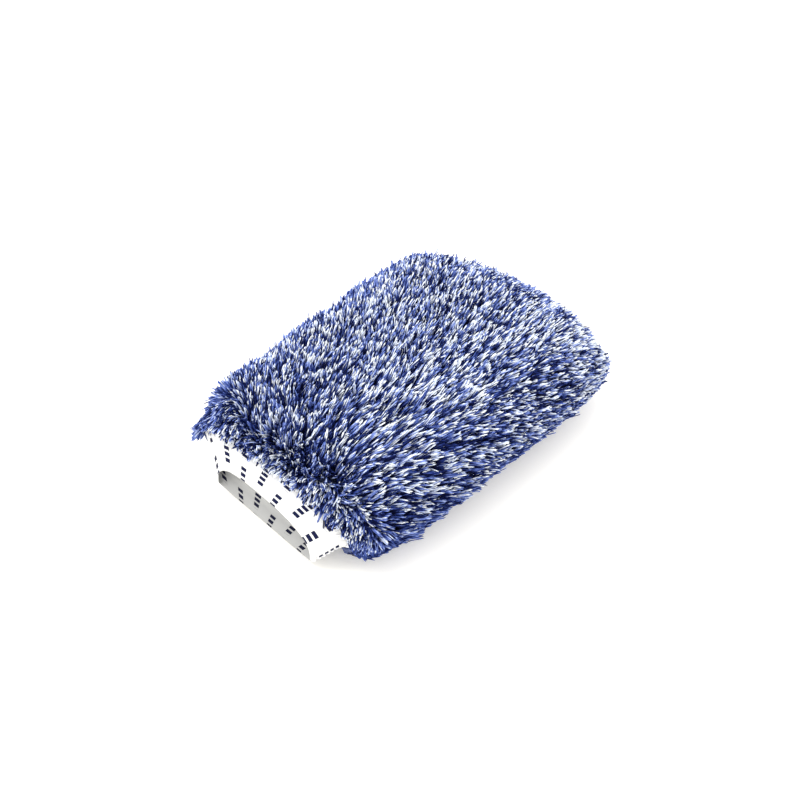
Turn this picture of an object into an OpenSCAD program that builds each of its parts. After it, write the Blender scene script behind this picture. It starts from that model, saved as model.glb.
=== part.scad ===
// Plush wash mitt with an elastic cuff.
// The mitt lies on its lower face. +X points to the closed far end, +Y across the hand, +Z up.
// The origin is at the middle of the footprint, on the surface that the mitt lies on.

/* [Body] */
// Length of the plush body from the cuff seam to the far tip
body_len = 244; // [200:2:300]
// Width of the body near its far end, over the pile
far_w = 185; // [150:1:225]
// Width of the body just behind the cuff, over the pile
near_w = 163; // [145:1:200]
// Height of the body, over the pile
body_h = 72; // [62:1:90]
// Height of the side seam above the surface
seam_z = 30; // [27:1:36]
// How far the far end bows outwards
far_bulge = 23; // [0:1:35]
// Length over which the far end rounds down to the seam
far_round = 59; // [30:1:80]
// Length over which the far corners round in
corner_len = 47; // [20:1:70]
// Length over which the body draws in to the cuff
near_round = 30; // [15:1:45]

/* [Plies] */
// Thickness of a plush panel, knitted backing and pile together
plush_t = 15; // [9:0.5:18]
// Thickness of a foam pad
foam_t = 6; // [3:0.5:8]
// Thickness of a pocket lining
lining_t = 0.9; // [0.6:0.1:1.4]
// Distance from the cuff seam to the near edge of a foam pad
foam_setback = 24; // [16:1:60]
// Width of the sewn seam allowance between the panels
seam_w = 5; // [3:0.5:7]
// Thickness of the sewn seam allowance
seam_t = 1.0; // [0.6:0.1:1.6]

/* [Cuff] */
// Width across the cuff at its seam with the body
neck_w = 134; // [120:1:140]
// Height of the fold line of the cuff at that seam
neck_z = 24; // [20:1:30]
// Rise of the upper cuff above its fold line, at the seam
neck_rise = 22; // [18:1:30]
// Drop of the lower cuff below its fold line, at the seam
neck_drop = 15; // [12:1:18]
// Sideways set of the cuff, as the mitt lies
cuff_shift = 8; // [-12:1:12]
// How far the cuff reaches out of the body
cuff_run = 15; // [12:0.5:40]
// Width across the relaxed cuff at its rim
rim_w = 88; // [76:1:116]
// Height of the cuff's fold line at the rim
rim_z = 10; // [9:0.5:14]
// Rise of the upper lip above its fold line
rim_rise = 19; // [10:0.5:26]
// Drop of the lower lip below its fold line
rim_drop = 7; // [4:0.5:7.5]
// Thickness of the elastic webbing
webbing_t = 1.5; // [1:0.1:2]

/* [Stitching] */
// Stitches along each half of the cuff seam
neck_stitches = 24; // [10:1:40]
// Stitches that close each side of the cuff
side_stitches = 6; // [3:1:9]
// Diameter of the sewing thread
thread_d = 0.8; // [0.5:0.1:1.2]
// Length of a stitch
stitch_len = 3; // [2:0.5:4]

/* [Hidden] */

TOP = 1;
BOTTOM = -1;
clear = 0.3;                 // between neighbouring pieces
$fn = 16;

// Stations along X, with the whole mitt centred on the origin
neck_x = cuff_run + clear - (cuff_run + clear + body_len) / 2;
end_x = neck_x + body_len - far_bulge;
far_mid_x = neck_x + body_len / 2;
slope_len = body_len * 0.3;  // over which the seam falls towards the cuff

// Section shape: larger exponents are squarer
top_n = 3.2;
bottom_n = 2.5;
far_n = 2.4;
cuff_n = 2.8;
bow_n = 1.2;
rest_flat = 1.07;            // above 1, leaves a level patch to rest on
far_blunt = 0.86;            // share of the width left at the far end
squeeze = 0.3;               // share of a ply's depth left where the plies are gathered

// Depths of the plies below the outer surface
foam_e = plush_t + clear;
lining_e = foam_e + foam_t + clear;
pocket_e = lining_e + lining_t;
seam_gap = seam_t + 2 * clear;
seam_e = plush_t - seam_w - 1;

// Mesh density
plush_rows = 30;
plush_cols = 26;
inner_rows = 22;
inner_cols = 18;
cuff_rows = 8;
cuff_cols = 28;

function clamp(t) = max(0, min(1, t));
function ease(t) = t * t * (3 - 2 * t);
function quarter(t, n) = pow(max(0, 1 - pow(t, n)), 1 / n);
function spread(c, n) = sign(c) * pow(abs(c), 2 / n);

// 0 in the body and 1 at the cuff seam
function gather(x) = 1 - quarter(clamp((neck_x + near_round - x) / near_round), 2);
function fall(x) = ease(clamp((neck_x + slope_len - x) / slope_len));
// 0 in the body and 1 at the far end of a surface that lies e below the outer one
function far_t(x, e, len) = clamp((x - (end_x - e - len)) / len);

function seam_height(x) = seam_z + (neck_z - seam_z) * fall(x);
function middle_y(x) = cuff_shift * gather(x);

function body_half_w(x, e) =
    ((near_w + (far_w - near_w) * clamp((x - neck_x) / (end_x - corner_len - neck_x))) / 2 - e)
    * (far_blunt + (1 - far_blunt) * quarter(far_t(x, e, corner_len), 2));

function half_w(x, e) =
    let (g = gather(x))
    g * (neck_w / 2 - squeeze * e) + (1 - g) * body_half_w(x, e);

function half_h(x, e, side) =
    let (g = gather(x),
         full = side == TOP ? body_h - seam_height(x) : seam_height(x),
         drawn = side == TOP ? neck_rise : neck_drop)
    g * (drawn - squeeze * e)
    + (1 - g) * (full - e) * quarter(far_t(x, e, far_round), far_n)
    - seam_gap / 2 * (1 - g);

// A point on the surface e below the outer one; phi runs from 0 at +Y to 180 at -Y
function skin(x, phi, e, side) =
    let (n = side == TOP ? top_n : bottom_n,
         v = spread(cos(phi), n),
         up = min(1, (side == TOP ? 1 : rest_flat) * pow(abs(sin(phi)), 2 / n)),
         bow = far_bulge * pow(clamp((x - far_mid_x) / (end_x - far_mid_x)), 2))
    [x + bow * pow(max(0, 1 - v * v), bow_n),
     middle_y(x) + half_w(x, e) * v,
     seam_height(x) + side * (seam_gap / 2 + max(0, half_h(x, e, side)) * up)];

// Rows of points between two stations, closer together at both ends
function skin_rows(x0, e, side, rows, cols) =
    [for (i = [0:rows])
        let (x = x0 + (end_x - e - x0) * (1 - cos(180 * i / rows)) / 2)
        [for (j = [0:cols]) skin(x, 180 * j / cols, e, side)]];

// Triangles between two rows of points that start at a and b
function band(a, b, cols, flip) =
    [for (j = [0:cols - 1], k = [0, 1])
        let (tri = k == 0 ? [a + j, a + j + 1, b + j] : [a + j + 1, b + j + 1, b + j])
        flip ? [tri[2], tri[1], tri[0]] : tri];

// A shell between two grids of points of the same size, closed around its edge
module shell(outer, inner, flip) {
    rows = len(outer) - 1;
    cols = len(outer[0]) - 1;
    stride = cols + 1;
    base = (rows + 1) * stride;
    points = [for (grid = [outer, inner], row = grid, p = row) p];
    sheets = [for (i = [0:rows - 1], k = [0, 1])
        each band(k * base + i * stride, k * base + (i + 1) * stride, cols, k == 0 ? flip : !flip)];
    ends = [for (k = [0, 1])
        each band(k * rows * stride, base + k * rows * stride, cols, k == 0 ? !flip : flip)];
    sides = [for (i = [0:rows - 1], k = [0, 1])
        let (a = i * stride + k * cols,
             b = a + stride,
             quad = k == 0 ? [a, b, base + b, base + a] : [base + a, base + b, b, a],
             turned = flip ? [quad[3], quad[2], quad[1], quad[0]] : quad)
        each [[turned[0], turned[1], turned[2]], [turned[0], turned[2], turned[3]]]];
    polyhedron(points, concat(sheets, ends, sides));
}

// One half of a ply, from depth e0 to depth e1, starting at station x0
module half_ply(x0, e0, e1, side, rows, cols) {
    shell(skin_rows(x0, e0, side, rows, cols), skin_rows(x0, e1, side, rows, cols), side == TOP);
}

// A point on the cuff, t from 0 at the seam to 1 at the rim, at depth d in the webbing
function cuff_point(t, phi, d, side) =
    let (rise = side == TOP ? neck_rise + (rim_rise - neck_rise) * t
                            : neck_drop + (rim_drop - neck_drop) * t,
         half = (neck_w + (rim_w - neck_w) * pow(t, 0.8)) / 2 - squeeze * plush_t,
         inset = side == TOP ? clear / 2 + squeeze * plush_t * (1 - t) : clear / 2)
    [neck_x - clear - cuff_run * t,
     cuff_shift + (half - d) * spread(cos(phi), cuff_n),
     neck_z + (rim_z - neck_z) * pow(t, 1.5)
        + side * (clear + (rise - inset - d) * pow(abs(sin(phi)), 2 / cuff_n))];

function cuff_rows_at(d, side) =
    [for (i = [0:cuff_rows])
        [for (j = [0:cuff_cols]) cuff_point(i / cuff_rows, 180 * j / cuff_cols, d, side)]];

// One half of the cuff
module webbing(side) {
    shell(cuff_rows_at(0, side), cuff_rows_at(webbing_t, side), side == BOTTOM);
}

// A straight length of thread between two points
module thread(p, q) {
    d = q - p;
    run = norm(d);
    translate(p)
        rotate([0, acos(d[2] / run), atan2(d[1], d[0])])
            cylinder(d = thread_d, h = run);
}

// A row of stitches that lie across one half of the cuff seam
module neck_row(side) {
    lift = -thread_d / 2 - 1.4 * clear;
    t0 = 0.16;
    t1 = t0 + stitch_len / cuff_run;
    for (i = [0:neck_stitches - 1]) {
        phi = 14 + (180 - 2 * 14) * i / (neck_stitches - 1);
        thread(cuff_point(t0, phi, lift, side), cuff_point(t1, phi, lift, side));
    }
}

// Stitches just below the fold on one side of the cuff, where its two halves are sewn together
module side_row(phi) {
    lift = -thread_d / 2 - 2 * clear;
    for (i = [0:side_stitches - 1]) {
        t = 0.2 + 0.72 * i / (side_stitches - 1);
        foot = cuff_point(t, phi, lift, BOTTOM);
        translate([foot[0], foot[1], foot[2] - stitch_len])
            cylinder(d = thread_d, h = stitch_len);
    }
}

// The plan outline at depth e, from the near +Y corner round the far end to the near -Y corner
function outline(e, dz, steps) =
    let (rim = [for (i = [0:steps])
            neck_x + near_round + (end_x - e - neck_x - near_round) * sin(90 * i / steps)])
    [for (i = [0:steps]) skin(rim[i], 0, e, TOP) - [0, 0, seam_gap / 2 - dz],
     for (j = [1:steps - 1]) skin(rim[steps], 180 * j / steps, e, TOP) - [0, 0, seam_gap / 2 - dz],
     for (i = [steps:-1:0]) skin(rim[i], 180, e, TOP) - [0, 0, seam_gap / 2 - dz]];

module plush_top() {
    color([0.44, 0.49, 0.66])
        half_ply(neck_x, 0, plush_t, TOP, plush_rows, plush_cols);
}

module plush_bottom() {
    color([0.38, 0.43, 0.60])
        half_ply(neck_x, 0, plush_t, BOTTOM, plush_rows, plush_cols);
}

module foam_top() {
    color([0.93, 0.92, 0.86])
        half_ply(neck_x + foam_setback, foam_e, foam_e + foam_t, TOP, inner_rows, inner_cols);
}

module foam_bottom() {
    color([0.93, 0.92, 0.86])
        half_ply(neck_x + foam_setback, foam_e, foam_e + foam_t, BOTTOM, inner_rows, inner_cols);
}

module lining_top() {
    color([0.86, 0.88, 0.92])
        half_ply(neck_x, lining_e, pocket_e, TOP, inner_rows, inner_cols);
}

module lining_bottom() {
    color([0.86, 0.88, 0.92])
        half_ply(neck_x, lining_e, pocket_e, BOTTOM, inner_rows, inner_cols);
}

// The sewn edges of both panels, in the gap between them around three sides
module body_seam() {
    steps = 18;
    color([0.20, 0.25, 0.45])
        shell([outline(seam_e, -seam_t / 2, steps), outline(seam_e, seam_t / 2, steps)],
              [outline(seam_e + seam_w, -seam_t / 2, steps), outline(seam_e + seam_w, seam_t / 2, steps)],
              true);
}

module cuff_top() {
    color([0.95, 0.95, 0.96]) webbing(TOP);
}

module cuff_bottom() {
    color([0.93, 0.93, 0.95]) webbing(BOTTOM);
}

module neck_stitch_top() {
    color([0.97, 0.97, 0.97]) neck_row(TOP);
}

module neck_stitch_bottom() {
    color([0.97, 0.97, 0.97]) neck_row(BOTTOM);
}

module side_stitch_left() {
    color([0.97, 0.97, 0.97]) side_row(0);
}

module side_stitch_right() {
    color([0.97, 0.97, 0.97]) side_row(180);
}

plush_top();
plush_bottom();
foam_top();
foam_bottom();
lining_top();
lining_bottom();
body_seam();
cuff_top();
cuff_bottom();
neck_stitch_top();
neck_stitch_bottom();
side_stitch_left();
side_stitch_right();
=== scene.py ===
"""A plush wash mitt with a printed elastic cuff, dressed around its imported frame. Lengths are in metres."""
import math

import bmesh
import bpy
import numpy as np
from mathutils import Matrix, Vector


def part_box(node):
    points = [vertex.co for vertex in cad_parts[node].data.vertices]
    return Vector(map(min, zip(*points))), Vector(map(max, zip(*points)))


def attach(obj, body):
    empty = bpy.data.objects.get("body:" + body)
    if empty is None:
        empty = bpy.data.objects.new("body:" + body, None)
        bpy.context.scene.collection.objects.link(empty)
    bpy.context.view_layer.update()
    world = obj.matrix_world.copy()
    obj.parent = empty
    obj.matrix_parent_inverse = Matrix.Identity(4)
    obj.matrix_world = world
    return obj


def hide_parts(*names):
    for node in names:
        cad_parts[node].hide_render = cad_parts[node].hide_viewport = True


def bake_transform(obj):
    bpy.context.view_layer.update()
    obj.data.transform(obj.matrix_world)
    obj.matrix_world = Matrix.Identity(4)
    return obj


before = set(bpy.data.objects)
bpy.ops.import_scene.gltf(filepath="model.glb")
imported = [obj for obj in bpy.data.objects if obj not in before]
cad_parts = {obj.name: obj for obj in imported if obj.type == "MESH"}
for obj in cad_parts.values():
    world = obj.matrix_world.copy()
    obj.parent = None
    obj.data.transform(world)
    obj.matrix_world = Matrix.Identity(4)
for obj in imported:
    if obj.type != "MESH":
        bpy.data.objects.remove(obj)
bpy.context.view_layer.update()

MM = 0.001
UP = np.array([0.0, 0.0, 1.0])

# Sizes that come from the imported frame
PANEL_LOW, PANEL_HIGH = (np.array(c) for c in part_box("plush_top"))
NECK_X = PANEL_LOW[0]
TIP_X = PANEL_HIGH[0]
TOP_Z = PANEL_HIGH[2]
HALF_W = PANEL_HIGH[1]
RIM_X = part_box("cuff_top")[0][0]

# Shape of the body and the cuff. The rim is up to 2 mm off the CAD source, where the soft webbing sags.
FAR_BULGE = 23 * MM
FAR_ROUND = 59 * MM
CORNER_LEN = 47 * MM
NEAR_ROUND = 30 * MM
NEAR_HALF_W = 81.5 * MM
SEAM_Z = 30 * MM
NECK_HALF_W = 67 * MM
NECK_Z = 24 * MM
NECK_RISE = 22 * MM
NECK_DROP = 15 * MM
CUFF_SHIFT = 8 * MM
RIM_HALF_W = 43 * MM
RIM_Z = 10 * MM
RIM_RISE = 20 * MM
RIM_DROP = 8.6 * MM
END_X = TIP_X - FAR_BULGE
MID_X = (NECK_X + TIP_X) / 2
SLOPE_LEN = 73 * MM
SHOULDER_LEN = 36 * MM     # over which the upper face falls to the cuff
SQUARE_TOP = 3.2           # how square the section is above the seam
SQUARE_UNDER = 2.5         # and below it
UNDER_SWELL = 1.07         # the underside is swollen by this much and then cut flat
FAR_SQUARE = 2.4           # how square the far end is, seen from the side
BOW_SHAPE = 1.2            # how fast the bulge of the far end dies out towards its corners
END_WIDTH = 0.86           # width left at the far corners, as a share of the full width
PULL_IN = 5 * MM           # by how much the -Y side is pulled in beside the cuff
PULL_START = 80 * MM       # where that starts, measured from the cuff
PULL_LEN = 70 * MM         # and the length over which it grows
DRAWN_SHARE = 0.3          # share of a ply's depth that is left where all plies are drawn in to the cuff


def clamp(t):
    return np.clip(t, 0.0, 1.0)


def ease(t):
    t = clamp(t)
    return t * t * (3 - 2 * t)


def quarter(t, n):
    """Falls from 1 at t = 0 to 0 at t = 1 along a quarter of a rounded square."""
    return np.maximum(0.0, 1 - clamp(t) ** n) ** (1 / n)


def unit(v):
    return v / np.maximum(np.linalg.norm(v, axis=-1, keepdims=True), 1e-12)


def gather(x):
    """1 at the cuff seam, falling to 0 where the body has its full width."""
    return 1 - quarter((NECK_X + NEAR_ROUND - x) / NEAR_ROUND, 2)


def body_point(s, phi, side_in, top_in, under_in, far_in):
    """A point on a surface inside the body's outer one.

    s runs from the cuff to the far end, and phi round the section from +Y over the top.
    """
    end = END_X - far_in
    x = NECK_X + (end - NECK_X) * s
    cos, sin = np.cos(phi), np.sin(phi)
    top = sin >= 0
    n = np.where(top, SQUARE_TOP, SQUARE_UNDER)
    v = np.sign(cos) * np.abs(cos) ** (2 / n)
    up = np.minimum(1.0, np.where(top, 1.0, UNDER_SWELL) * np.abs(sin) ** (2 / n))
    g = gather(x)
    seam_z = SEAM_Z + (NECK_Z - SEAM_Z) * ease((NECK_X + SLOPE_LEN - x) / SLOPE_LEN)
    side_in = side_in + PULL_IN * ease((NECK_X + PULL_START - x) / PULL_LEN) * np.maximum(0, -v)
    straight = NEAR_HALF_W + (HALF_W - NEAR_HALF_W) * clamp((x - NECK_X) / (END_X - CORNER_LEN - NECK_X))
    corner = quarter((x - end + CORNER_LEN) / CORNER_LEN, 2)
    half_w = (straight - side_in) * (END_WIDTH + (1 - END_WIDTH) * corner)
    half_w = g * (NECK_HALF_W - DRAWN_SHARE * side_in) + (1 - g) * half_w
    full = np.where(top, TOP_Z - seam_z - top_in, seam_z - under_in)
    drawn = np.where(top, NECK_RISE - DRAWN_SHARE * top_in, NECK_DROP - DRAWN_SHARE * under_in)
    low = np.where(top, ease((NECK_X + SHOULDER_LEN - x) / SHOULDER_LEN), g)
    half_h = low * drawn + (1 - low) * full * quarter((x - end + FAR_ROUND) / FAR_ROUND, FAR_SQUARE)
    bow = FAR_BULGE * clamp((x - MID_X) / (END_X - MID_X)) ** 2
    return np.stack([x + bow * np.maximum(0.0, 1 - v * v) ** BOW_SHAPE,
                     CUFF_SHIFT * g + half_w * v,
                     seam_z + np.where(top, 1, -1) * half_h * up], axis=-1)


def new_object(name, mesh):
    obj = bpy.data.objects.new(name, mesh)
    bpy.context.scene.collection.objects.link(obj)
    return obj


def mesh_from(name, verts, faces):
    """A mesh from an array of points and a list of arrays of faces, each with one number of corners."""
    mesh = bpy.data.meshes.new(name)
    counts = np.concatenate([np.full(len(f), f.shape[1]) for f in faces])
    loops = np.concatenate([f.reshape(-1) for f in faces])
    mesh.vertices.add(len(verts))
    mesh.vertices.foreach_set("co", np.asarray(verts, np.float32).reshape(-1))
    mesh.loops.add(len(loops))
    mesh.loops.foreach_set("vertex_index", loops.astype(np.int32))
    mesh.polygons.add(len(counts))
    mesh.polygons.foreach_set("loop_start", np.concatenate([[0], np.cumsum(counts)[:-1]]).astype(np.int32))
    mesh.polygons.foreach_set("loop_total", counts.astype(np.int32))
    mesh.update(calc_edges=True)
    mesh.validate()
    return mesh


# ---------------------------------------------------------------- cloth panels

PLEATS = 19
PLEAT_SWAY = 1.3           # how unevenly the pleats are spaced
PLEAT_DEPTH = 2.2 * MM
PLEAT_REACH = 34 * MM
PLEAT_START = 5 * MM       # the cloth is still smooth at the cuff seam, and pleated this far behind it
LUMP_DEPTH = 1.1 * MM
LUMP_SIZE = 48 * MM


def lumps(p, size, seed):
    """Smooth noise from -1 to 1 over points, made of a few waves of about that size."""
    rng = np.random.default_rng(seed)
    total = np.zeros(p.shape[:-1])
    for _ in range(9):
        wave = unit(rng.normal(size=3)) * 2 * math.pi / (size * rng.uniform(0.7, 1.5))
        total = total + np.sin(p @ wave + rng.uniform(0, 2 * math.pi))
    return total / 4.0


def puckered(p, normal, phi):
    """Adds the gathers near the cuff and the soft unevenness of a stuffed body."""
    near = ease(1 - (p[..., 0] - NECK_X) / PLEAT_REACH)
    edge = ease((p[..., 0] - NECK_X) / PLEAT_START)
    fold = np.sin(PLEATS * phi + PLEAT_SWAY * np.sin(3 * phi))
    rise = PLEAT_DEPTH * near * edge * fold + LUMP_DEPTH * lumps(p, LUMP_SIZE, 4) * edge
    return p + normal * rise[..., None]


def grid_normals(p, closed):
    """Normals of a grid of points, turned away from the middle of each row."""
    if closed:
        across = np.roll(p, -1, 1) - np.roll(p, 1, 1)
    else:
        across = np.gradient(p, axis=1)
    along = np.gradient(p, axis=0)
    n = unit(np.cross(across, along))
    centre = p.mean(axis=1, keepdims=True)
    return n * np.sign(((p - centre) * n).sum(-1, keepdims=True) + 1e-12)


def s_rows(count):
    """Stations from the cuff to the far end, closer together at both ends."""
    return (1 - np.cos(math.pi * np.arange(count + 1) / count)) / 2


def even(depth):
    return (depth, depth, depth, depth)


def ply_grid(side, insets, rows, cols, start=0.0, lift=0.0):
    """Points over one half of a surface inside the body, from +Y over to -Y."""
    s, j = np.meshgrid(start + (1 - start) * s_rows(rows), np.arange(cols + 1) / cols, indexing="ij")
    phi = math.pi * j * (1 if side == "top" else -1)
    p = body_point(s, phi, *insets)
    p[..., 2] += lift if side == "top" else -lift
    return p, phi


def shell_mesh(name, outer, inner):
    """A closed shell between two grids of points."""
    rows, cols = outer.shape[0] - 1, outer.shape[1] - 1
    index = np.arange((rows + 1) * (cols + 1)).reshape(rows + 1, cols + 1)
    base = index.size
    quads = np.stack([index[:-1, :-1], index[:-1, 1:], index[1:, 1:], index[1:, :-1]], -1).reshape(-1, 4)
    rim = np.concatenate([index[0, :-1], index[:-1, -1], index[-1, :0:-1], index[:0:-1, 0]])
    after = np.roll(rim, -1)
    edge = np.stack([after, rim, rim + base, after + base], -1)
    faces = np.concatenate([quads, quads[:, ::-1] + base, edge])
    verts = np.concatenate([outer.reshape(-1, 3), inner.reshape(-1, 3)])
    return mesh_from(name, verts, [faces])


def outward(mesh):
    """Turns the faces of a closed mesh outwards and shades it smooth."""
    bm = bmesh.new()
    bm.from_mesh(mesh)
    bmesh.ops.recalc_face_normals(bm, faces=bm.faces)
    bm.to_mesh(mesh)
    bm.free()
    mesh.shade_smooth()
    return mesh


BACK_INSETS = (8 * MM, 8.5 * MM, 8 * MM, 5.5 * MM)   # at the sides, on top, underneath, at the far end
BACK_T = 1.4 * MM
BACK_GRID = (60, 84)
BACK_LIFT = 0.3 * MM       # keeps the two backings apart at the seam


def backing(side):
    """The knitted backing of one plush panel: one crowned, gathered cloth."""
    p, phi = ply_grid(side, BACK_INSETS, *BACK_GRID, lift=BACK_LIFT)
    outer = puckered(p, grid_normals(p, False), phi)
    n = grid_normals(outer, False)
    obj = new_object("backing_" + side, outward(shell_mesh("backing_" + side, outer, outer - n * BACK_T)))
    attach(obj, "mitt")
    return obj


# ---------------------------------------------------------------- pile

TOP_TUFTS = 16800
UNDER_TUFTS = 5600
STRANDS = 3                # in a tuft
PER_PIECE = 11800          # strands in one piece of pile, at most
STRAND_R = 0.45 * MM
STATIONS = np.array([0.0, 0.42, 0.90, 1.0])          # along a strand, the last one at its tip
WIDTHS = np.array([0.75, 1.15, 0.92])                # of a strand, at all of them but the tip
SIDES = 3
TWIST = 0.5                # turn of a strand's section from one station to the next
SHADES = 64                # colour cells across the UV map
UV_TOP = 0.97
FLOOR_GAP = 0.4 * MM
SOFT_GAP = 2 * MM          # the pile starts to give way this far above its lowest place

ROOT_GRID = (120, 240)
PUCKER_SHARE = 0.25        # how far the pleats and lumps turn the pile
CROWD = 0.9                # how much denser the pile is by the cuff
BARE_LEN = 1.5 * MM        # the lower half carries no pile so close to the cuff

FAN_X = 580 * MM           # the nap fans out from a point this far behind the body's middle
FAN_Y = 4.0
LIFT = 1.05                # how steeply the pile stands on the broad faces
LIFT_NEAR = 0.45           # by how much less on the -Y half
LIFT_STREAK = 0.25         # and by how much less again in the streaks
LIFT_EDGE = 0.17           # how steeply it stands on the walls
LIFT_NOISE = 0.15
COMBED_FLAT = 0.92         # share of the lift that is lost where the pile is combed down
HANG = (-0.75, -0.40, -0.5)                          # direction of the pile that hangs over the cuff
HANG_SPAN = 60 * MM        # how far along Y that direction changes
HANG_LIFT = 0.3
PART_LIFT = 1.2            # how much the pile stands up where it parts
TURN_LEN = 15 * MM         # behind the cuff seam, where the pile turns from hanging to lying back

LENGTH = 10.5              # of a tuft, in mm
LENGTH_EDGE = 2.0          # less on the walls and over the cuff
LENGTH_STREAK = 3.0        # more in the streaks
LENGTH_FOLD = 3.5          # less at the -Y fold of the cuff
DRIFT = 0.16               # how far neighbouring tufts lean together
SCATTER = 0.20             # how far each tuft leans by itself
CURL = 1.3                 # turn of the strands round their tuft, from root to tip
SPREAD = 0.55              # of the strands in a tuft, in mm at the root
BULGE = 0.30               # and how much wider the tuft is in its middle

DARK, MIDDLE, LIGHT = 0.10, 0.46, 0.92               # colour of dark, middle and light tufts, from 0 to 1
DARK_SHARE = 0.30          # share of dark tufts
DIM_SHARE = 0.64           # share of dark and middle ones together
LIGHT_AT = (95 * MM, -65 * MM)                       # there are more light tufts round this place
LIGHT_REACH = (40 * MM, 35 * MM)
LIGHT_MORE = 0.24
DARK_REACH = 38 * MM       # and more dark ones so far behind the cuff
DARK_MORE = 0.15
ODD_SHARE = 0.25           # share of strands that don't match their tuft
CALM = 0.74                # how far the colours are evened out on the walls and the hazy edges

# Zones of the pile: where each starts, and the length over which it grows or fades
BESIDE_CUFF = (NECK_X, 50 * MM)
SIDE_WALL = (44 * MM, 34 * MM)
FAR_WALL = (50 * MM, 50 * MM)
LOW_WALL = (SEAM_Z - 8 * MM, 20 * MM)
CORNER_Y = (30 * MM, 26 * MM)
CORNER_X = (NECK_X + 12 * MM, 40 * MM)
NEAR_HALF = (-33 * MM, 45 * MM)
STREAK_X = (NECK_X + 40 * MM, 90 * MM)
SHOULDER = (NECK_X + 20 * MM, 30 * MM)
TURN_Y = (34 * MM, 26 * MM)
TURN_Z = (NECK_Z - 4 * MM, 8 * MM)
FOLD_Y = (-55 * MM, 15 * MM)
FOLD_X = (NECK_X + 8 * MM, 20 * MM)
CALM_WALL = (SEAM_Z - 6 * MM, 12 * MM)
HAZY_X = (80 * MM, 40 * MM)
HAZY_Y = (-40 * MM, 40 * MM)
HAZY_EDGE = (48 * MM, 30 * MM)
PANEL_EDGE = SEAM_Z - 14 * MM


def grown(value, zone):
    return ease((value - zone[0]) / zone[1])


def faded(value, zone):
    return ease(1 - (value - zone[0]) / zone[1])


def body_surface():
    """The outer face of both backings as one closed grid, with its normals."""
    rows, cols = ROOT_GRID
    s, j = np.meshgrid(s_rows(rows), np.arange(cols) / cols, indexing="ij")
    phi = 2 * math.pi * j
    p = body_point(s, phi, *BACK_INSETS)
    n = grid_normals(p, True)
    p = puckered(p, n, np.where(phi > math.pi, phi - 2 * math.pi, phi))
    return p, unit(n + PUCKER_SHARE * grid_normals(p, True))


def scatter(count, keep, seed):
    """Points and normals spread over the part of the backing that keep() picks, denser by the cuff."""
    p, n = body_surface()
    a, b = p[:-1], p[1:]
    area = np.linalg.norm(np.cross(np.roll(a, -1, 1) - a, b - a), axis=-1)
    crowd = 1 + CROWD * faded(a[..., 0], BESIDE_CUFF)
    weight = area * crowd * keep((a + b) / 2)
    total = np.cumsum(weight.reshape(-1))
    rng = np.random.default_rng(seed)
    picks = (np.arange(count) + rng.random(count)) / count * total[-1]
    cell = np.searchsorted(total, picks)
    i, j = np.unravel_index(np.minimum(cell, len(total) - 1), weight.shape)
    k = (j + 1) % p.shape[1]
    u, v = rng.random((2, count, 1))

    def mixed(g):
        return (g[i, j] * (1 - u) + g[i + 1, j] * u) * (1 - v) + (g[i, k] * (1 - u) + g[i + 1, k] * u) * v
    return mixed(p), unit(mixed(n))


def top_part(p):
    """The part of the backing that the upper panel's pile grows from, down to a line low on the walls."""
    return (p[..., 2] >= PANEL_EDGE) & ((p[..., 0] > NECK_X + BARE_LEN) | (p[..., 2] > NECK_Z))


def under_part(p):
    """The part that the lower panel's pile grows from."""
    return (p[..., 2] < PANEL_EDGE) & (p[..., 0] > NECK_X + BARE_LEN)


def turning(p):
    """1 for pile that hangs forward on the cuff, 0 for pile that lies back along the body."""
    edge = TURN_LEN * (1 + 0.40 * lumps(p, 11 * MM, 51) + 1.3 * grown(p[:, 1], TURN_Y))
    return clamp(1.25 * (1 - (p[:, 0] - NECK_X) / edge)) * grown(p[:, 2], TURN_Z)


def edge_zone(p):
    """1 on the side walls and at the far end, where the pile is short and flat, 0 on the broad faces."""
    return np.maximum(grown(np.abs(p[:, 1]), SIDE_WALL), grown(p[:, 0], FAR_WALL))


def combed(p):
    """1 where the pile lies closest to the cloth: low on the walls, underneath, round the near +Y corner."""
    corner = grown(p[:, 1], CORNER_Y) * faded(p[:, 0], CORNER_X)
    return np.maximum(faded(p[:, 2], LOW_WALL), corner)


def streaks(p):
    """1 beside the cuff on the -Y half, where the strands are longest and lie flat along the body."""
    return faded(p[:, 1], NEAR_HALF) * faded(p[:, 0], STREAK_X)


def lying_back(p, n):
    """The direction of pile that lies back: it fans out towards the far end."""
    flow = unit(np.stack([p[:, 0] + FAN_X, FAN_Y * p[:, 1], 0 * p[:, 0]], -1))
    lift = LIFT - LIFT_NEAR * faded(p[:, 1], NEAR_HALF) - LIFT_STREAK * streaks(p)
    lift = lift + LIFT_NOISE * lumps(p, 26 * MM, 52)
    lift = lift + (LIFT_EDGE - lift) * np.maximum(edge_zone(p), 0.8 * faded(p[:, 0], SHOULDER))
    lift = lift * (1 - COMBED_FLAT * combed(p))
    out = (n * flow).sum(-1, keepdims=True)
    down = UP * 0.5 * np.maximum(0, n[:, :1]) ** 2
    flow = unit(flow - n * np.where(out < 0, out, 0.85 * out) - down)
    return unit(n * lift[:, None] + flow)


def hanging(p, n, loose):
    """The direction of pile that hangs over the cuff, along the cloth it grows from."""
    y = p[:, 1] / HANG_SPAN
    hang = np.stack([HANG[0] + 0 * y, HANG[1] + np.where(y < 0, 0.15, -0.35) * y, HANG[2] + 0 * y], -1)
    return unit(unit(hang - n * (n * hang).sum(-1, keepdims=True)) + n * HANG_LIFT * loose)


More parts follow.
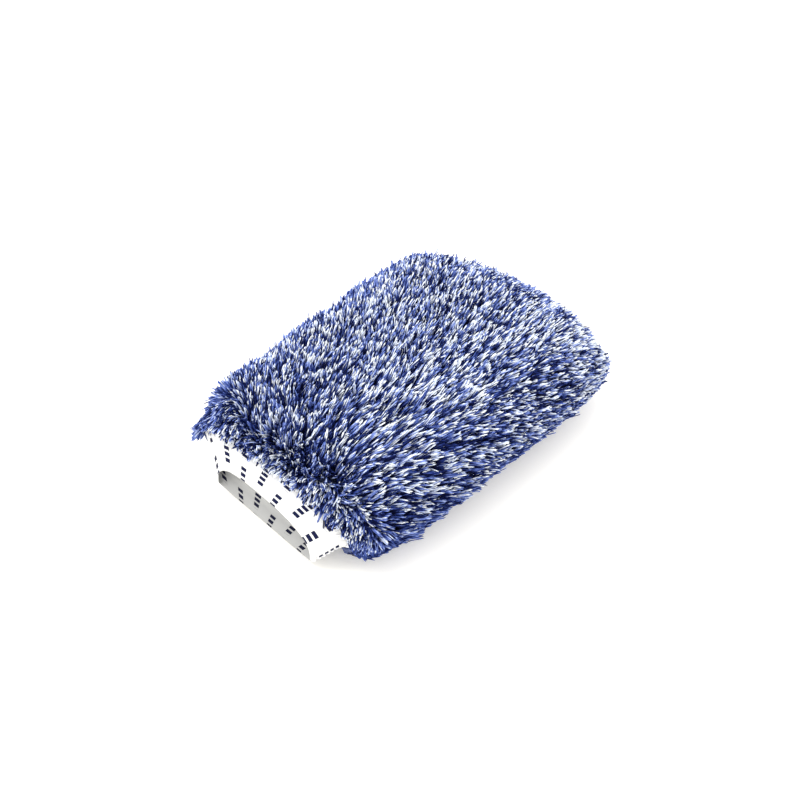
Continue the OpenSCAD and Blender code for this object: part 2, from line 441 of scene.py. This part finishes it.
def nap(p, n):
    """The direction in which the pile lies. Between its two ways of lying it stands up and parts."""
    loose = 1 - 0.5 * combed(p)[:, None]
    turn = turning(p)[:, None]
    part = n * PART_LIFT * loose * turn * (1 - turn)
    return unit(lying_back(p, n) * (1 - turn) + hanging(p, n, loose) * turn + part)


def strand_faces(loops):
    """Faces of one strand: its sides as quads, its tip and its root as triangles."""
    last = loops * SIDES
    quads = [[r * SIDES + k, r * SIDES + (k + 1) % SIDES,
              (r + 1) * SIDES + (k + 1) % SIDES, (r + 1) * SIDES + k]
             for r in range(loops - 1) for k in range(SIDES)]
    tris = [[last - SIDES + k, last - SIDES + (k + 1) % SIDES, last] for k in range(SIDES)]
    tris.append([k for k in reversed(range(SIDES))])
    return np.array(quads), np.array(tris)


def strand_uv(mesh, loops, shade, base):
    """Gives each strand its colour cell along U, and runs V from its root, at base, to its tip."""
    last = loops * SIDES
    level = np.concatenate([np.repeat(STATIONS[:-1], SIDES), STATIONS[-1:]])
    turn = np.concatenate([np.tile(np.arange(SIDES), loops), [0.5]]) / SIDES
    index = np.zeros(len(mesh.loops), np.int64)
    mesh.loops.foreach_get("vertex_index", index)
    strand, local = index // (last + 1), index % (last + 1)
    low = base[strand]
    across = (shade[strand] + 0.15 + 0.7 * turn[local]) / SHADES
    along = low + (UV_TOP - low) * level[local]
    layer = mesh.uv_layers.new(name="OFBake")
    layer.data.foreach_set("uv", np.stack([across, along], -1).astype(np.float32).reshape(-1))


def strand_mesh(name, paths, radius, shade, base):
    """Closed blunt strands along paths of points: (strand, ring, xyz)."""
    count, rings, _ = paths.shape
    along = unit(np.gradient(paths, axis=1))
    side = unit(np.cross(along, np.array([0.31, 0.87, 0.38])))
    other = np.cross(along, side)
    loops = rings - 1
    last = loops * SIDES
    verts = np.zeros((count, last + 1, 3))
    for ring in range(loops):
        for k in range(SIDES):
            a = 2 * math.pi * k / SIDES + TWIST * ring
            offset = side[:, ring] * math.cos(a) + other[:, ring] * math.sin(a)
            verts[:, ring * SIDES + k] = paths[:, ring] + offset * (radius * WIDTHS[ring])[:, None]
    verts[:, -1] = paths[:, -1]
    quads, tris = strand_faces(loops)
    start = (np.arange(count) * (last + 1))[:, None, None]
    faces = [(start + quads).reshape(-1, 4), (start + tris).reshape(-1, 3)]
    mesh = mesh_from(name, verts.reshape(-1, 3), faces)
    strand_uv(mesh, loops, shade, base)
    mesh.shade_smooth()
    return mesh


def tuft_lengths(root, rng):
    """How long each tuft is, with a small random difference."""
    length = LENGTH - LENGTH_EDGE * np.maximum(turning(root), edge_zone(root))
    length = length + LENGTH_STREAK * streaks(root) * (1 - turning(root))
    fold = faded(root[:, 1], FOLD_Y) * faded(root[:, 0], FOLD_X)
    return (length - LENGTH_FOLD * fold) * MM * rng.normal(1.0, 0.10, len(root)).clip(0.75, 1.25)


def tuft_spines(root, n, rng):
    """The middle lines of tufts, which rise from the cloth and bend over, and the directions they end in."""
    count = len(root)
    drift = np.stack([lumps(root, 17 * MM, seed) for seed in (31, 32, 33)], -1)
    loose = 1 - 0.5 * combed(root)[:, None]
    lie = unit(nap(root, n) + loose * (DRIFT * drift + SCATTER * rng.normal(size=(count, 3))))
    flat = np.maximum(0.6 * turning(root), 0.65 * edge_zone(root))
    flat = np.maximum(flat, 0.88 * combed(root))[:, None]
    rise = unit(n * (1 - flat) + 0.5 * lie + 0.12 * rng.normal(size=(count, 3)))
    length = tuft_lengths(root, rng)[:, None, None]
    bend = ease(STATIONS * 1.5)
    heading = unit(rise[:, None] * (1 - bend)[None, :, None] + lie[:, None] * bend[None, :, None])
    steps = (heading[:, 1:] + heading[:, :-1]) / 2 * length * np.diff(STATIONS)[None, :, None]
    return root[:, None] + np.concatenate([np.zeros((count, 1, 3)), np.cumsum(steps, axis=1)], axis=1), lie


def tuft_paths(root, n, seed):
    """The strands of tufts rooted at those points: (tuft, strand, ring, xyz)."""
    rng = np.random.default_rng(seed)
    count = len(root)
    spine, lie = tuft_spines(root, n, rng)
    side = unit(np.cross(lie, rng.normal(size=(count, 3))))
    other = np.cross(lie, side)
    spin = rng.uniform(0, 2 * math.pi, count)
    spread = (SPREAD + BULGE * np.sin(math.pi * STATIONS * 0.9)) * (1 - 0.35 * STATIONS ** 3) * MM
    paths = np.zeros((count, STRANDS, len(STATIONS), 3))
    for k in range(STRANDS):
        own = 2 * math.pi * k / STRANDS + spin
        wide = rng.uniform(0.6, 1.5, count)
        angle = own[:, None] + CURL * STATIONS[None, :]
        off = side[:, None] * np.cos(angle)[..., None] + other[:, None] * np.sin(angle)[..., None]
        reach = rng.normal(1.0, 0.12, count).clip(0.7, 1.3)[:, None, None]
        along = (spine - root[:, None]) * reach + root[:, None]
        paths[:, k] = along + off * (spread[None, :] * wide[:, None])[..., None]
    return paths


def settle(paths):
    """Presses the pile down onto the surface that the mitt lies on."""
    z = paths[..., 2]
    soft = FLOOR_GAP + STRAND_R + SOFT_GAP
    paths[..., 2] = np.where(z < soft, soft - SOFT_GAP + SOFT_GAP * np.exp((z - soft) / SOFT_GAP), z)
    return paths


def tuft_shades(root, seed):
    """A colour cell for each strand: dark, middle or light tufts, with a few odd strands in each."""
    rng = np.random.default_rng(seed)
    count = len(root)
    light = np.exp(-(((root[:, :2] - LIGHT_AT) / LIGHT_REACH) ** 2).sum(-1))
    dark = np.exp(-((root[:, 0] - NECK_X) / DARK_REACH) ** 2)
    tone = rng.random(count) + 0.15 * lumps(root, 9 * MM, 41) + LIGHT_MORE * light - DARK_MORE * dark
    kinds = [tone < DARK_SHARE, tone < DIM_SHARE]
    middle = np.select(kinds, [DARK, MIDDLE], LIGHT)
    spread = np.select(kinds, [0.08, 0.12], 0.06)
    own = middle[:, None] + spread[:, None] * rng.normal(size=(count, STRANDS))
    odd = rng.random((count, STRANDS)) < ODD_SHARE
    own = np.where(odd, rng.random((count, STRANDS)), own)
    wall = faded(root[:, 2], CALM_WALL)
    hazy = grown(root[:, 0], HAZY_X) * grown(root[:, 1], HAZY_Y)
    hazy = np.maximum(hazy, grown(root[:, 1], HAZY_EDGE))
    calm = CALM * np.maximum(wall, hazy)[:, None]
    own = own * (1 - calm) + (MIDDLE - 0.07 * wall[:, None]) * calm
    return np.floor(own.clip(0, 0.999) * SHADES)


def pile_piece(label, paths, shades, base, seed):
    rng = np.random.default_rng(seed)
    own = paths.reshape(-1, len(STATIONS), 3)
    radius = STRAND_R * rng.uniform(0.7, 1.3, len(own))
    obj = new_object(label, strand_mesh(label, own, radius, shades.reshape(-1), np.repeat(base, STRANDS)))
    return obj


def pile(name, count, keep, seed):
    """Pieces of pile over the part of the backing that keep() picks, and the piece that lies on the lip."""
    root, n = scatter(count, keep, seed)
    paths = settle(tuft_paths(root, n, seed + 1))
    shades = tuft_shades(root, seed + 3)
    # where a strand's V starts: strands that hang over the cuff start higher, so they get less of the painted
    # shade at the root
    base = 0.03 + 0.30 * ease(2 * turning(root))
    over = (paths[..., 0].min(axis=(1, 2)) < NECK_X + 1 * MM) & (root[:, 2] > NECK_Z + 2 * MM)
    rest = np.flatnonzero(~over)
    rest = rest[np.argsort(root[rest, 0])]
    groups = np.array_split(rest, math.ceil(len(rest) * STRANDS / PER_PIECE))
    objs = [pile_piece("%s_%d" % (name, k + 1), paths[g], shades[g], base[g], seed + 10 + k)
            for k, g in enumerate(groups)]
    lip = pile_piece(name + "_lip", paths[over], shades[over], base[over], seed + 5) if over.any() else None
    return objs, lip


# ---------------------------------------------------------------- cuff

WEB_T = 1.4 * MM
CUFF_RUN = NECK_X - 0.3 * MM - RIM_X
CUFF_IN = 0.20             # the share of its run that the webbing reaches back under the pile
CUFF_OFF = 0.3 * MM        # keeps the webbing clear of the backing
CUFF_SQUARE = 2.8          # how square the cuff's section is
SQUEEZE = 4.5 * MM         # how far inside the body's own section the webbing is sewn on
WEB_COLS = 192
WEB_ROWS = 26
WEB_ROUND = 0.97           # the rim is rounded from here on
WEB_PINCH = 0.3            # share of the webbing's thickness that each face gives up there
SLACK_BOW = 2.5 * MM       # the -Y side of the cuff stands out by so much in the middle of its run
SLACK_RIM = 9.6 * MM       # by so much more at the rim than at the seam
SLACK_SEAM = 1.6 * MM      # and is drawn in by this at the seam
RIM_LAG = 1.2 * MM         # the rim falls back by this in its middle, and by twice this at its +Y side
RIM_LAG_TOP = 2.0 * MM     # by so much more in the middle of its upper half
RIM_LAG_UNDER = 3.5 * MM   # and of its lower half
GATHERS = 26
GATHER_DEPTH = 0.55 * MM
GATHER_END = 0.55          # where the gathers die out, between the seam at 0 and the rim at 1
PRINT_RUN = 0.6            # the print is spaced evenly round the cuff at this distance from the seam


def cuff_point(t, phi, depth):
    """A point on the cuff, t from 0 at the seam to 1 at the rim; phi runs round it from +Y over the top."""
    cos, sin = np.cos(phi), np.sin(phi)
    top = sin >= 0
    run = clamp(t)
    rise = np.where(top, NECK_RISE + (RIM_RISE - NECK_RISE) * run, NECK_DROP + (RIM_DROP - NECK_DROP) * run)
    v = np.sign(cos) * np.abs(cos) ** (2 / CUFF_SQUARE)
    up = np.abs(sin) ** (2 / CUFF_SQUARE)
    slack = (SLACK_BOW * np.sin(math.pi * run) + SLACK_RIM * run - SLACK_SEAM) * np.maximum(0, -v)
    half = NECK_HALF_W + (RIM_HALF_W - NECK_HALF_W) * run ** 0.8 - SQUEEZE + slack
    inset = SQUEEZE * (1 - run)
    lag = run * (RIM_LAG * (1 + v) + np.where(top, RIM_LAG_TOP, RIM_LAG_UNDER) * up)
    middle = NECK_Z + (RIM_Z - NECK_Z) * run ** 1.5
    height = CUFF_OFF + (rise - inset - depth) * up
    return np.stack(np.broadcast_arrays(
        NECK_X - CUFF_OFF - CUFF_RUN * t + lag,
        CUFF_SHIFT + (half - depth) * v,
        middle + np.where(top, 1, -1) * height), -1)


def band_uv(mesh, t, phi, quads, turns):
    """U runs round the cuff by length. V runs up the outside from 0 to 0.5, and back down the inside to 1."""
    middle = cuff_point(PRINT_RUN, np.append(phi, 2 * math.pi), 0.0)
    around = np.concatenate([[0], np.cumsum(np.linalg.norm(np.diff(middle, axis=0), axis=1))])
    around = around / around[-1]
    rise = np.linspace(0, 1, len(t))
    level = np.concatenate([0.02 + 0.46 * rise, 0.52 + 0.46 * rise[::-1]])
    r, c = np.divmod(np.arange(len(quads)), len(phi))
    rn = (r + 1) % turns
    u0, u1 = around[c], around[c + 1]
    v0, v1 = level[r], np.where(rn == 0, level[r] + 0.004, level[rn])
    uv = np.stack([np.stack(corner, -1) for corner in ((u0, v0), (u1, v0), (u1, v1), (u0, v1))], 1)
    layer = mesh.uv_layers.new(name="OFBake")
    layer.data.foreach_set("uv", uv.astype(np.float32).reshape(-1))


def cuff_band():
    """The whole cuff: one loop of soft webbing with a rounded rim, gathered where it is sewn on."""
    t = np.concatenate([np.linspace(-CUFF_IN, 0.96, WEB_ROWS), [0.985, 1.0]])
    phi = 2 * math.pi * np.arange(WEB_COLS) / WEB_COLS
    tt, pp = np.meshgrid(t, phi, indexing="ij")
    fold = np.sin(GATHERS * pp + 1.7 * np.sin(2 * pp))
    ripple = GATHER_DEPTH * fold * ease((GATHER_END - tt) / 0.6)
    outer = cuff_point(tt, pp, -ripple)
    inner = cuff_point(tt, pp, WEB_T - ripple)
    pinch = WEB_PINCH * np.where(tt > WEB_ROUND, (tt - WEB_ROUND) / (1 - WEB_ROUND), 0)[..., None]
    outer, inner = outer + (inner - outer) * pinch, inner + (outer - inner) * pinch
    rings = np.concatenate([outer, inner[::-1]])
    index = np.arange(rings.shape[0] * WEB_COLS).reshape(-1, WEB_COLS)
    after = np.roll(index, -1, axis=0)
    quads = np.stack([index, np.roll(index, -1, 1), np.roll(after, -1, 1), after], -1).reshape(-1, 4)
    mesh = mesh_from("cuff_band", rings.reshape(-1, 3), [quads])
    band_uv(mesh, t, phi, quads, len(rings))
    obj = new_object("cuff_band", outward(mesh))
    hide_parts("cuff_top", "cuff_bottom")
    return obj


# ---------------------------------------------------------------- thread

THREAD_R = 0.42 * MM
LOBE = 0.16                # how deep the grooves between the plies are, as a share of the radius
NECK_STITCHES = 24
NECK_SPAN = (14, 166)      # degrees round each half of the cuff
NECK_AT = (0.05, 0.22)     # where a stitch starts and ends, between the seam at 0 and the rim at 1
SIDE_STITCHES = 6
SIDE_SPAN = (0.28, 0.92)
SIDE_HALF = 0.055          # half the length of a side stitch
SIDE_DROP = 0.10           # how far below the fold they are, in radians
SEAM_DEPTH = 9 * MM
SEAM_W = 5 * MM
SEAM_T = 0.9 * MM
SEAM_START = 0.12          # share of the body's length in front of the seam tape
SEAM_ROWS = 120
LOOP_STEP = 2.6 * MM
LOOP_POINTS = 10
LOOP_H = 0.72 * MM
LOOP_R = 0.2 * MM


def thread_mesh(name, paths, radius, lobes=2, sides=8, turns=0.9):
    """Closed lengths of plied thread along paths of points: (length, ring, xyz)."""
    count, rings, _ = paths.shape
    along = unit(np.gradient(paths, axis=1))
    side = unit(np.cross(along, np.array([0.36, 0.48, 0.80])))
    other = np.cross(along, side)
    ring, k = np.meshgrid(np.arange(rings), np.arange(sides), indexing="ij")
    a = 2 * math.pi * k / sides
    own = radius * (1 + LOBE * np.cos(lobes * a - turns * ring))
    verts = paths[:, :, None] + own[None, ..., None] * (side[:, :, None] * np.cos(a)[None, ..., None]
                                                        + other[:, :, None] * np.sin(a)[None, ..., None])
    index = np.arange(rings * sides).reshape(rings, sides)
    low, high = index[:-1], index[1:]
    tube = np.stack([low, np.roll(low, -1, 1), np.roll(high, -1, 1), high], -1).reshape(-1, 4)
    caps = np.stack([index[0][::-1], index[-1]])
    start = (np.arange(count) * rings * sides)[:, None, None]
    faces = [(start + tube).reshape(-1, 4), (start + caps).reshape(-1, sides)]
    return outward(mesh_from(name, verts.reshape(-1, 3), faces))


def stitch_paths(phi, t0, t1):
    """Short stitches on the outside of the cuff, dipping into it at both ends."""
    t = np.linspace(0, 1, 9)[None, :]
    rise = THREAD_R * 0.7 - (np.abs(2 * t - 1) ** 3) * 1.0 * MM
    return cuff_point(t0[:, None] + (t1 - t0)[:, None] * t, phi[:, None] + 0 * t, -(rise + 0 * phi[:, None]))


def cuff_stitching():
    """The stitches that sew the cuff on all round, and those that close it below the fold on each side."""
    angles = np.radians(np.linspace(*NECK_SPAN, NECK_STITCHES))
    phi = np.concatenate([angles, -angles])
    paths = [stitch_paths(phi, *(np.full(len(phi), at) for at in NECK_AT))]
    t = np.linspace(*SIDE_SPAN, SIDE_STITCHES)
    for angle in (-SIDE_DROP, math.pi + SIDE_DROP):
        paths.append(stitch_paths(np.full(len(t), angle), t - SIDE_HALF, t + SIDE_HALF))
    mesh = thread_mesh("cuff_stitching", np.concatenate(paths), THREAD_R)
    obj = new_object("cuff_stitching", mesh)
    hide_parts("neck_stitch_top", "neck_stitch_bottom", "side_stitch_left", "side_stitch_right")
    return obj


def seam_line(depth):
    """The line along the side seam at that depth, from the near +Y corner round the far end."""
    rows = np.linspace(SEAM_START, 1, SEAM_ROWS)
    ends = np.linspace(0, math.pi, SEAM_ROWS)[1:-1]
    s = np.concatenate([rows, np.ones(len(ends)), rows[::-1]])
    phi = np.concatenate([np.zeros(SEAM_ROWS), ends, np.full(SEAM_ROWS, math.pi)])
    p = body_point(s, phi, *even(depth))
    return p[np.concatenate([[True], np.linalg.norm(np.diff(p, axis=0), axis=1) > 1e-6])]


def seam_lines(margin_out, margin_in):
    """The outer and inner edge of the seam allowances, with those margins inside them."""
    outer, inner = seam_line(SEAM_DEPTH + margin_out), seam_line(SEAM_DEPTH + SEAM_W - margin_in)
    count = min(len(outer), len(inner))
    return outer[:count], inner[:count]


def seam_tape():
    """The two seam allowances, sewn together: one narrow strip with a wavy cut edge."""
    outer, inner = seam_lines(0, 0)
    wave = 0.35 * MM * np.sin(np.arange(len(outer)) * 1.9)[:, None]
    across = unit(inner - outer)
    top = np.stack([outer + across * wave, (outer + inner) / 2 + UP * 0.12 * MM, inner], axis=1)
    mesh = outward(shell_mesh("seam_tape", top + UP * (SEAM_T / 2), top - UP * (SEAM_T / 2)))
    obj = new_object("seam_tape", mesh)
    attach(obj, "mitt")
    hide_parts("body_seam")
    return obj


def seam_loops():
    """The overlock thread that wraps the seam allowances in close loops."""
    outer, inner = seam_lines(0.6 * MM, 0.4 * MM)
    run = np.concatenate([[0], np.cumsum(np.linalg.norm(np.diff(outer, axis=0), axis=1))])
    points = int(run[-1] / LOOP_STEP) * LOOP_POINTS
    at = np.linspace(0, run[-1], points)

    def along(line):
        return np.stack([np.interp(at, run, line[:, k]) for k in range(3)], -1)
    middle, half = along((outer + inner) / 2), along((inner - outer) / 2)
    a = 2 * math.pi * np.arange(points) / LOOP_POINTS
    path = middle + half * np.cos(a)[:, None] + UP * (LOOP_H * np.sin(a))[:, None]
    obj = new_object("seam_loops", thread_mesh("seam_loops", path[None], LOOP_R, sides=5))
    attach(obj, "mitt")
    return obj


# ---------------------------------------------------------------- inside of the mitt

FOAM_DEPTH = 15.3 * MM
FOAM_T = 6 * MM
LINING_DEPTH = 21.6 * MM
LINING_T = 0.7 * MM
LINING_NECK = 7.0 * MM     # by how much less deep the lining lies where it is sewn to the cuff
LINING_FLARE = 0.06        # the share of the body's length over which it gets there
FOAM_START = 0.11          # share of the body's length in front of the foam
PLY_ROWS = 30
PLY_COLS = 40
PLY_LIFT = 0.8 * MM        # keeps the upper and the lower ply apart


def ply(name, side, depth, thick, start=0.0):
    """A soft ply inside the body, between two depths below its outer surface."""
    outer, _ = ply_grid(side, even(depth), PLY_ROWS, PLY_COLS, start, PLY_LIFT)
    inner, _ = ply_grid(side, even(depth + thick), PLY_ROWS, PLY_COLS, start, PLY_LIFT)
    return new_object(name, outward(shell_mesh(name, outer, inner)))


def foam(side):
    obj = ply("foam_pad_" + side, side, FOAM_DEPTH, FOAM_T, FOAM_START)
    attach(obj, "mitt")
    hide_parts("foam_" + side)
    return obj


def lining(side):
    """The pocket's lining, which opens out towards the cuff to be sewn in behind it."""
    neck = LINING_NECK * ease(1 - s_rows(PLY_ROWS) / LINING_FLARE)[:, None]
    obj = ply("lining_cloth_" + side, side, LINING_DEPTH - neck, LINING_T)
    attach(obj, "mitt")
    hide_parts("lining_" + side)
    return obj


# ---------------------------------------------------------------- materials

def material(name):
    """A new material, its nodes, links and shader."""
    mat = bpy.data.materials.new(name)
    mat.use_nodes = True
    tree = mat.node_tree
    return mat, tree, tree.nodes["Principled BSDF"]


def ramp(tree, source, stops, interpolation="LINEAR"):
    node = tree.nodes.new("ShaderNodeValToRGB")
    node.color_ramp.interpolation = interpolation
    elements = node.color_ramp.elements
    while len(elements) < len(stops):
        elements.new(0.5)
    for element, (at, colour) in zip(elements, stops):
        element.position = at
        element.color = (*colour, 1.0)
    tree.links.new(source, node.inputs["Fac"])
    return node.outputs["Color"]


def maths(tree, operation, a, b=None):
    """A maths node. Its inputs are sockets or plain numbers."""
    node = tree.nodes.new("ShaderNodeMath")
    node.operation = operation
    for slot, value in enumerate((a, b)):
        if value is None:
            continue
        if isinstance(value, (int, float)):
            node.inputs[slot].default_value = value
        else:
            tree.links.new(value, node.inputs[slot])
    return node.outputs[0]


def multiply(tree, a, b):
    node = tree.nodes.new("ShaderNodeMix")
    node.data_type = "RGBA"
    node.blend_type = "MULTIPLY"
    node.inputs["Factor"].default_value = 1.0
    tree.links.new(a, node.inputs["A"])
    tree.links.new(b, node.inputs["B"])
    return node.outputs["Result"]


def uv_parts(tree):
    uv = tree.nodes.new("ShaderNodeUVMap")
    uv.uv_map = "OFBake"
    parts = tree.nodes.new("ShaderNodeSeparateXYZ")
    tree.links.new(uv.outputs["UV"], parts.inputs[0])
    return parts.outputs["X"], parts.outputs["Y"]


FIBRE_U = 157.0            # turns of the lighter and darker fibres, from strand to strand
FIBRE_V = 8.5              # and along a strand
FIBRE_MIX = 0.14           # how far they differ from the strand's own colour
TWIST_V = 44.0             # turns of the fine twist along a strand


def pile_material():
    """Twisted fibres: navy, periwinkle and white strands, darker towards the root with painted shade where
    the strands shade each other.
    """
    mat, tree, shader = material("plush_pile")
    u, v = uv_parts(tree)
    cell = maths(tree, "DIVIDE", maths(tree, "FLOOR", maths(tree, "MULTIPLY", u, SHADES)), SHADES)
    streak = maths(tree, "SINE", maths(tree, "ADD", maths(tree, "MULTIPLY", cell, FIBRE_U),
                                       maths(tree, "MULTIPLY", v, FIBRE_V)))
    mixed = maths(tree, "ADD", cell, maths(tree, "MULTIPLY", streak, FIBRE_MIX))
    tone = ramp(tree, mixed, [(0.0, (0.0005, 0.003, 0.040)), (0.22, (0.009, 0.022, 0.14)),
                              (0.36, (0.068, 0.115, 0.38)), (0.56, (0.235, 0.32, 0.72)),
                              (0.74, (0.72, 0.82, 1.0)), (0.84, (0.94, 0.98, 1.0))])
    # painted shade: each strand darkens from its tip down to its root, standing in for the shade deep in the
    # pile
    depth = ramp(tree, v, [(0.0, (0.008, 0.012, 0.06)), (0.35, (0.06, 0.08, 0.22)),
                           (0.60, (0.62, 0.66, 0.84)), (0.78, (1.0, 1.0, 1.0))])
    twist = maths(tree, "SINE", maths(tree, "ADD", maths(tree, "MULTIPLY", u, 2 * math.pi * SHADES),
                                      maths(tree, "MULTIPLY", v, TWIST_V)))
    fibre = ramp(tree, maths(tree, "ADD", maths(tree, "MULTIPLY", twist, 0.5), 0.5),
                 [(0.0, (0.84, 0.84, 0.88)), (1.0, (1.0, 1.0, 1.0))])
    tree.links.new(multiply(tree, multiply(tree, tone, depth), fibre), shader.inputs["Base Color"])
    shader.inputs["Roughness"].default_value = 0.8
    shader.inputs["Specular IOR Level"].default_value = 0.12
    return mat


def noise(tree, scale, detail=3.0):
    place = tree.nodes.new("ShaderNodeTexCoord")
    node = tree.nodes.new("ShaderNodeTexNoise")
    node.inputs["Scale"].default_value = scale
    node.inputs["Detail"].default_value = detail
    tree.links.new(place.outputs["Object"], node.inputs["Vector"])
    return node.outputs["Fac"]


def bump(tree, shader, height, distance):
    node = tree.nodes.new("ShaderNodeBump")
    node.inputs["Distance"].default_value = distance
    node.inputs["Strength"].default_value = 0.6
    tree.links.new(height, node.inputs["Height"])
    tree.links.new(node.outputs["Normal"], shader.inputs["Normal"])


def cloth_material(name, dark, light, scale, rough=0.85):
    mat, tree, shader = material(name)
    grain = noise(tree, scale)
    tree.links.new(ramp(tree, grain, [(0.3, dark), (0.7, light)]), shader.inputs["Base Color"])
    bump(tree, shader, grain, 0.3 * MM)
    shader.inputs["Roughness"].default_value = rough
    return mat


BAR_COLUMNS = 14.0         # round the cuff
BLOCKS = 1.5               # blocks of bars across the webbing, in each column
BLOCK_FILL = 0.72          # share of a block's length that has bars
BARS = 5.6                 # bars in a whole length of a block
BAR_FILL = 0.64            # share of a bar's length that is inked
BAR_HALF = 0.15            # half the width of a bar, as a share of its column's
RIBS = (260, 26)           # ribs round the cuff and across it


def webbing_material():
    """Fine ribbed elastic with staggered columns of short navy bars, and painted shade that darkens its
    inside face away from the rim.
    """
    mat, tree, shader = material("webbing")
    u, v = uv_parts(tree)
    along = maths(tree, "FRACT", maths(tree, "MULTIPLY", v, 2.0))
    column = maths(tree, "MULTIPLY", u, BAR_COLUMNS)
    across = maths(tree, "FRACT", column)
    odd = maths(tree, "FLOORED_MODULO", maths(tree, "FLOOR", column), 2.0)
    shifted = maths(tree, "ADD", maths(tree, "MULTIPLY", along, BLOCKS), maths(tree, "MULTIPLY", odd, 0.5))
    block = maths(tree, "FRACT", shifted)
    inside = maths(tree, "LESS_THAN", block, BLOCK_FILL)
    bars = maths(tree, "LESS_THAN", maths(tree, "FRACT", maths(tree, "MULTIPLY", block, BARS)), BAR_FILL)
    width = maths(tree, "LESS_THAN", maths(tree, "ABSOLUTE", maths(tree, "SUBTRACT", across, 0.5)), BAR_HALF)
    ink = maths(tree, "MULTIPLY", maths(tree, "MULTIPLY", inside, bars), width)
    rib = maths(tree, "MULTIPLY", maths(tree, "SINE", maths(tree, "MULTIPLY", u, 2 * math.pi * RIBS[0])),
                maths(tree, "SINE", maths(tree, "MULTIPLY", along, 2 * math.pi * RIBS[1])))
    cloth = ramp(tree, maths(tree, "ADD", maths(tree, "MULTIPLY", rib, 0.5), 0.5),
                 [(0.0, (0.68, 0.68, 0.67)), (0.6, (0.77, 0.77, 0.76))])
    print_ = ramp(tree, ink, [(0.0, (1.0, 1.0, 1.0)), (1.0, (0.004, 0.007, 0.050))])
    # painted shade: the inside face darkens from the rim inwards, where the upper lip of the cuff shades it
    inner = ramp(tree, v, [(0.50, (1.0, 1.0, 1.0)), (0.58, (0.93, 0.93, 0.915)), (0.70, (0.76, 0.76, 0.75)),
                           (0.82, (0.52, 0.52, 0.52))])
    tree.links.new(multiply(tree, multiply(tree, cloth, print_), inner), shader.inputs["Base Color"])
    bump(tree, shader, rib, 0.12 * MM)
    shader.inputs["Roughness"].default_value = 0.7
    shader.inputs["Specular IOR Level"].default_value = 0.12
    return mat


# ---------------------------------------------------------------- stage

VIEW_AZ = math.radians(-47.3)
VIEW_EL = math.radians(43.4)
VIEW_DIST = 0.600
LENS = 42.2
LOOK_AT = np.array([-12.1, 1.3, 27.6]) * MM
FLOOR_SIZE = 6.0
FLOOR_GLOW = 0.22          # keeps the floor white under the mitt's soft shadow
SKY = 1.55
LAMP_AT = (-0.35, 0.45, 1.2)
LAMP_SIZE = 0.9
LAMP_POWER = 9.0


def aim(obj, place, target):
    obj.location = Vector(place)
    obj.rotation_euler = (Vector(target) - Vector(place)).to_track_quat("-Z", "Y").to_euler()


def camera():
    level = math.cos(VIEW_EL)
    back = np.array([math.sin(VIEW_AZ) * level, -math.cos(VIEW_AZ) * level, math.sin(VIEW_EL)])
    cam = bpy.data.cameras.new("camera")
    cam.lens = LENS
    cam.sensor_width = 36.0
    cam.clip_start = 0.01
    obj = new_object("camera", cam)
    aim(obj, LOOK_AT + back * VIEW_DIST, LOOK_AT)
    bpy.context.scene.camera = obj


def area_light(name, place, size, power):
    lamp = bpy.data.lights.new(name, "AREA")
    lamp.size = size
    lamp.energy = power
    aim(new_object(name, lamp), place, (0, 0, 0.02))


def studio():
    """A plain white floor, soft light from all round and one large soft lamp."""
    bpy.ops.mesh.primitive_plane_add(size=FLOOR_SIZE)
    floor = bpy.context.object
    floor.name = "floor"
    mat, _, shader = material("floor_paint")
    shader.inputs["Base Color"].default_value = (0.9, 0.88, 0.82, 1.0)
    shader.inputs["Roughness"].default_value = 0.9
    shader.inputs["Emission Color"].default_value = (1.0, 0.99, 0.98, 1.0)
    shader.inputs["Emission Strength"].default_value = FLOOR_GLOW
    floor.data.materials.append(mat)
    world = bpy.data.worlds.new("studio")
    world.use_nodes = True
    world.node_tree.nodes["Background"].inputs["Color"].default_value = (1.0, 1.0, 1.0, 1.0)
    world.node_tree.nodes["Background"].inputs["Strength"].default_value = SKY
    bpy.context.scene.world = world
    bpy.context.scene.view_settings.view_transform = "Standard"
    area_light("key", LAMP_AT, LAMP_SIZE, LAMP_POWER)


# ---------------------------------------------------------------- the whole mitt

camera()
studio()

pile_mat = pile_material()
knit_mat = cloth_material("knit_backing", (0.02, 0.03, 0.10), (0.08, 0.11, 0.26), 900)
foam_mat = cloth_material("foam", (0.80, 0.78, 0.70), (0.92, 0.91, 0.85), 600)
lining_mat = cloth_material("lining_knit", (0.70, 0.73, 0.80), (0.86, 0.88, 0.92), 1400)
thread_mat = cloth_material("thread", (0.72, 0.72, 0.73), (0.86, 0.86, 0.86), 3000)
seam_mat = cloth_material("seam_thread", (0.04, 0.06, 0.18), (0.12, 0.16, 0.36), 2000)
web_mat = webbing_material()

backings = {}
linings = {}
for side in ("top", "bottom"):
    backings[side] = backing(side)
    backings[side].data.materials.append(knit_mat)
    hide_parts("plush_" + side)
    foam(side).data.materials.append(foam_mat)
    linings[side] = lining(side)
    linings[side].data.materials.append(lining_mat)

top_pile, lip_pile = pile("pile_top", TOP_TUFTS, top_part, 101)
under_pile, _ = pile("pile_under", UNDER_TUFTS, under_part, 201)
for obj in top_pile + under_pile:
    obj.data.materials.append(pile_mat)
    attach(obj, "mitt")
lip_pile.data.materials.append(pile_mat)
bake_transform(lip_pile)

band = cuff_band()
band.data.materials.append(web_mat)
stitching = cuff_stitching()
stitching.data.materials.append(thread_mat)
for obj in (band, stitching):
    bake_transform(obj)
for obj in (seam_tape(), seam_loops()):
    obj.data.materials.append(seam_mat)
